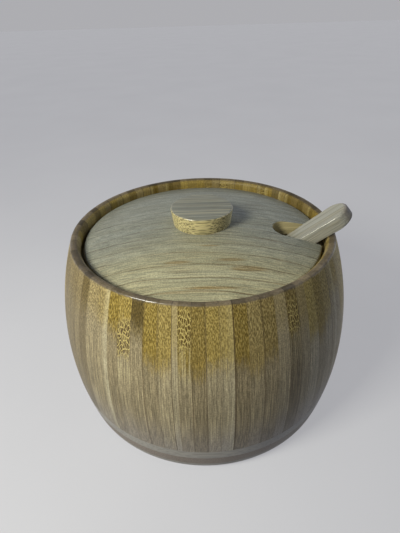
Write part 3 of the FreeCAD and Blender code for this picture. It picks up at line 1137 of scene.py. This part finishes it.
def lid_strip_loops(low, high):
    """Loops across X, one for each y of a strip: top from right to left, side, underside, side.

    Each top point has the lid's height at its distance from the axis. A row ends on the lid's round
    edge or, in front of it, on the notch.
    """
    outline = notch_outline()
    even = -lid_radius * np.cos(np.radians(np.linspace(*lid_row_angles)))
    marks = np.concatenate([even, outline[:, 1], [low, high]])
    limit = lid_radius - lid_end_gap
    marks = np.unique(np.clip(marks, max(low, -limit), min(high, limit)))
    y = marks[:, None]
    turns = np.radians(np.linspace(90.0, 0.0, edge_steps))[None, :]
    swing = np.arcsin((edge_touch - edge_reach) / lid_edge_rounding)
    rim_turn = swing + (np.pi / 2 - swing) * turns / (np.pi / 2)
    rim_reach = np.maximum(edge_reach + lid_edge_rounding * np.sin(rim_turn), np.abs(y))
    rim_x = np.sqrt(rim_reach ** 2 - y ** 2)
    rim_z = lid_height(rim_reach)
    full = np.sqrt(lid_radius ** 2 - y ** 2)
    notch_x = np.interp(y, outline[:, 1], outline[:, 0], left=lid_radius, right=lid_radius)
    notched = notch_x < full
    eased_x = notch_x - notch_ease * (1.0 - np.sin(turns))
    eased_top = lid_height(np.hypot(np.minimum(notch_x - notch_ease, full), y))
    eased_z = eased_top - notch_ease * (1.0 - np.cos(turns))
    right_x = np.where(notched, eased_x, rim_x)
    right_z = np.where(notched, eased_z, rim_z)
    share = np.linspace(0.0, 1.0, lid_columns)[None, 1:-1]
    top_x = right_x[:, -1:] + (-rim_x[:, -1:] - right_x[:, -1:]) * share
    top_z = lid_height(np.hypot(top_x, y))
    end_x = np.where(notched, notch_x, full)
    low_x = -full + (end_x + full) * np.linspace(0.0, 1.0, lid_under_columns)[None, :]
    low_z = np.full_like(low_x, seat_level)
    loop_x = np.concatenate([right_x, top_x, -rim_x[:, ::-1], low_x], axis=1)
    loop_z = np.concatenate([right_z, top_z, rim_z[:, ::-1], low_z], axis=1)
    return np.stack([loop_x, np.broadcast_to(y, loop_x.shape), loop_z], axis=-1)


def add_lid():
    """Strips of even width, glued edge to edge."""
    material = lid_material()
    width = 2 * lid_radius / lid_strip_count
    for index in range(lid_strip_count):
        node = "lid_strip_%d" % (index + 1)
        low = index * width - lid_radius
        shape = capped_tube(lid_strip_loops(low, low + width))
        add_piece(node + "_bamboo", shape, material, node, "lid")


def add_knob():
    """The knob, turned: flat top, small rounding, a side that draws in downwards. The dowel stays CAD."""
    crown = (knob_radius - knob_rounding, knob_top - knob_rounding)
    profile = np.vstack([
        [(ring, knob_top) for ring in knob_top_rings],
        bend(crown, knob_rounding, 90.0, 0.0, edge_steps),
        [(ring, lid_top) for ring in knob_under_rings],
    ])
    shape = turned_solid(profile, knob_segments)
    add_piece("lid_knob_bamboo", shape, knob_material(), "lid_knob", "lid")
    dowel = dowel_material()
    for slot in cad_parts["knob_dowel"].material_slots:
        slot.material = dowel


# Spoon

def sagitta_radius(half_chord, rise):
    """Radius of the arc that rises so far over half its chord: (c^2 + r^2) / 2r."""
    return (half_chord ** 2 + rise ** 2) / (2 * rise)


def boat_section(station, length, width, depth):
    """Radius of a boat shape's section, and the rise of its axis over the rim.

    The shape is a keel arc turned about that axis. At distance s from the middle the radius is
    b + sqrt(k^2 - s^2) - k, with section radius b and keel radius k.
    """
    section = sagitta_radius(width / 2, depth)
    keel = sagitta_radius(length / 2, depth)
    along = np.clip(station - bowl_length / 2, -length / 2, length / 2)
    return section - keel + np.sqrt(keel ** 2 - along ** 2), section - depth


def boat_depth(station, side, length, width, depth):
    """Depth of that shape under its rim: sqrt(r^2 - side^2) - rise."""
    radius, rise = boat_section(station, length, width, depth)
    return np.sqrt(np.clip(radius ** 2 - side ** 2, 0.0, None)) - rise


def boat_half_width(station, length, width, depth):
    """Half the width of that shape at its rim: sqrt(r^2 - rise^2)."""
    radius, rise = boat_section(station, length, width, depth)
    return np.sqrt(np.clip(radius ** 2 - rise ** 2, 0.0, None))


def smooth_step(value, low, high):
    """0 at low, 1 at high and 3t^2 - 2t^3 between."""
    share = np.clip((value - low) / (high - low), 0.0, 1.0)
    return share * share * (3.0 - 2.0 * share)


flare_radius = sagitta_radius(shank_end - neck_end, handle_half_width - neck_half_width)
flare_lean = 2 * math.atan2(handle_half_width - neck_half_width, shank_end - neck_end)
tip_station = shank_end + handle_half_width * (math.tan(flare_lean) + 1 / math.cos(flare_lean))
tip_radius = sagitta_radius(handle_half_width, tip_station - shank_end)


def shank_half_width(station):
    """Half the handle's width: straight neck, an arc that widens it, and a round end."""
    run = np.clip(station - neck_end, 0.0, shank_end - neck_end)
    flared = neck_half_width + flare_radius - np.sqrt(flare_radius ** 2 - run ** 2)
    ahead = np.clip(station - (tip_station - tip_radius), 0.0, tip_radius)
    rounded = np.sqrt(np.clip(tip_radius ** 2 - ahead ** 2, 0.0, None))
    return np.where(station < shank_end, flared, rounded)


def eased(inward, radius):
    """How far a quarter round of that radius drops, at a distance inward from the edge."""
    outside = np.clip(radius - inward, 0.0, radius)
    return radius - np.sqrt(radius ** 2 - outside ** 2)


def spoon_loops():
    """Loops across the spoon: top from side to side, then back along the underside.

    The underside is the deeper of the bowl's boat shape and the handle's slab, whose flanks run out
    softly under the bowl. The top is flat but for the bowl's hollow and the eased edges.
    """
    depth = bowl_hollow + bowl_floor
    turn = np.linspace(0.0, np.pi / 2, spoon_end_rows)
    start = spoon_start_gap + (bowl_length / 2) * (1.0 - np.cos(turn))
    middle = np.linspace(bowl_length / 2, shank_end - tip_run, spoon_middle_rows)[1:]
    end_length = tip_station - shank_end + tip_run
    end = tip_station - spoon_end_gap - end_length * (1.0 - np.sin(turn))
    s = np.concatenate([start, middle, end[1:]])[:, None]
    in_bowl = smooth_step(s, bowl_length + neck_blend[0], bowl_length - neck_blend[1])
    bowl_half = boat_half_width(s, bowl_length, bowl_width, depth)
    shank_half = shank_half_width(s)
    half = np.where(s < bowl_length / 2, bowl_half, np.maximum(bowl_half, shank_half))
    v = np.linspace(-1.0, 1.0, spoon_columns)[None, :]
    y = half * np.sin(v * np.pi / 2)
    at_end = s > shank_end
    side_inward = half - np.abs(y)
    end_inward = tip_radius - np.hypot(s - (tip_station - tip_radius), y)
    inward = np.where(at_end, np.clip(end_inward, 0.0, None), side_inward)
    tip = smooth_step(s, shank_end - tip_ease_start, tip_station - tip_ease_start)
    ease = handle_ease + (handle_tip_ease - handle_ease) * tip + (lip_ease - handle_ease) * in_bowl
    hollow = boat_depth(s, y, bowl_length - 2 * bowl_lip, bowl_width - 2 * bowl_lip, bowl_hollow)
    top = -np.maximum(np.clip(hollow, 0.0, None), eased(inward, ease))
    beside = smooth_step(np.abs(y), neck_half_width + keel_flank, neck_half_width - keel_core)
    keel = handle_thickness * beside * smooth_step(s, keel_start, keel_full)
    slab = np.maximum(keel, handle_thickness * (1.0 - in_bowl))
    slab = np.where(s > bowl_length, handle_thickness, slab)
    bowl = np.maximum(boat_depth(s, y, bowl_length, bowl_width, depth), bowl_edge)
    deep = np.where(s > bowl_length, slab, np.maximum(slab, bowl))
    under = -deep + eased(inward, ease) * np.where(s > bowl_length, 1.0, 1.0 - in_bowl)
    under = np.minimum(under, top - least_thickness)
    across = np.concatenate([y, y[:, ::-1]], axis=1)
    up = np.concatenate([top, under[:, ::-1]], axis=1)
    return np.stack([np.broadcast_to(s, across.shape), across, up], axis=-1)


def leaned(points):
    """Tilt the spoon up by its slope, set it on its foot, and turn it to where it leans out."""
    slope = math.radians(spoon_slope)
    turn = math.radians(spoon_turn)
    reach = points[..., 0] * math.cos(slope) - points[..., 2] * math.sin(slope) + spoon_foot[0]
    height = points[..., 0] * math.sin(slope) + points[..., 2] * math.cos(slope) + spoon_foot[1]
    x = reach * math.cos(turn) - points[..., 1] * math.sin(turn)
    y = reach * math.sin(turn) + points[..., 1] * math.cos(turn)
    return np.stack([x, y, height], axis=-1)


def add_spoon():
    """The spoon in one piece, leaning in the box."""
    shape = capped_tube(leaned(spoon_loops()))
    add_piece("spoon_wooden", shape, spoon_material(), "spoon", "spoon")


# Stage

floor_half = 4000.0
light_aim = (0.0, 0.0, 0.05)
sky_light = (0.055, 0.065, 0.095, 1.0)
sky_seen = (0.42, 0.42, 0.44, 1.0)
camera_place = (0.0, -0.1407, 0.1505)
camera_lens = 26.6
camera_sensor = 36.0
camera_nearest = 0.01
camera_pitch = math.radians(56.5)
camera_yaw = 0.0097
camera_roll = -0.0302


def add_floor():
    """A square floor with its corners at half its width along X and Y."""
    half = floor_half
    corners = np.array([(-half, -half, 0.0), (half, -half, 0.0), (half, half, 0.0), (-half, half, 0.0)])
    mesh = bpy.data.meshes.new("floor")
    mesh.from_pydata((corners * MILLIMETRE).tolist(), [], [[0, 1, 2, 3]])
    mesh.materials.append(floor_material())
    floor = bpy.data.objects.new("floor", mesh)
    bpy.context.scene.collection.objects.link(floor)
    return floor


def add_lamp(name, front_angle, elevation, distance, size, power, colour):
    """A square soft light that looks at the middle of the box. Angles are in degrees, power in watts."""
    lamp = bpy.data.lights.new(name, "AREA")
    lamp.shape = "SQUARE"
    lamp.size = size
    lamp.energy = power
    lamp.color = colour
    holder = bpy.data.objects.new(name, lamp)
    around = math.radians(front_angle)
    up = math.radians(elevation)
    towards = Vector((math.sin(around) * math.cos(up), -math.cos(around) * math.cos(up), math.sin(up)))
    holder.location = Vector(light_aim) + towards * distance
    holder.rotation_euler = towards.to_track_quat("Z", "Y").to_euler()
    bpy.context.scene.collection.objects.link(holder)
    return holder


def add_light(floor):
    """A warm key from the front left, cool fills at the right and behind, and a dim sky.

    The fills leave the floor alone, so that it keeps one shadow.
    """
    add_lamp(
        "key_light", front_angle=-47.0, elevation=37.0, distance=0.37, size=0.11,
        power=1.5, colour=(0.98, 0.97, 0.86),
    )
    unlit = bpy.data.collections.new("unlit_by_fill")
    unlit.objects.link(floor)
    unlit.collection_objects[0].light_linking.link_state = "EXCLUDE"
    fills = (
        add_lamp(
            "front_right_light", front_angle=70.0, elevation=30.0, distance=0.9, size=0.5,
            power=0.75, colour=(0.8, 0.86, 1.0),
        ),
        add_lamp(
            "cool_right_light", front_angle=135.0, elevation=10.0, distance=0.9, size=0.4,
            power=4.8, colour=(0.66, 0.75, 1.0),
        ),
        add_lamp(
            "cool_back_light", front_angle=205.0, elevation=10.0, distance=0.9, size=0.4,
            power=5.8, colour=(0.82, 0.87, 1.0),
        ),
    )
    for fill in fills:
        fill.visible_glossy = False
        fill.light_linking.receiver_collection = unlit
    world = bpy.data.worlds.new("studio")
    world.use_nodes = True
    tree = Tree(world.node_tree)
    seen = background_rays(tree)
    background = world.node_tree.nodes["Background"].inputs
    tree.put(background["Color"], tree.mix(seen, sky_light, sky_seen))
    background["Strength"].default_value = 1.0
    bpy.context.scene.world = world


def add_camera():
    """The camera of the photograph: near, above the rim, looking down at the box."""
    camera = bpy.data.cameras.new("camera")
    camera.sensor_fit = "AUTO"
    camera.sensor_width = camera_sensor
    camera.lens = camera_lens
    camera.clip_start = camera_nearest
    holder = bpy.data.objects.new("camera", camera)
    pitch = Matrix.Rotation(camera_pitch, 4, "X")
    yaw = Matrix.Rotation(camera_yaw, 4, "Z")
    roll = Matrix.Rotation(camera_roll, 4, "Z")
    holder.matrix_world = Matrix.Translation(camera_place) @ yaw @ pitch @ roll
    bpy.context.scene.collection.objects.link(holder)
    bpy.context.scene.camera = holder


add_base()
add_staves()
add_lid()
add_knob()
add_spoon()
add_light(add_floor())
add_camera()
bpy.context.scene.view_settings.view_transform = "Standard"
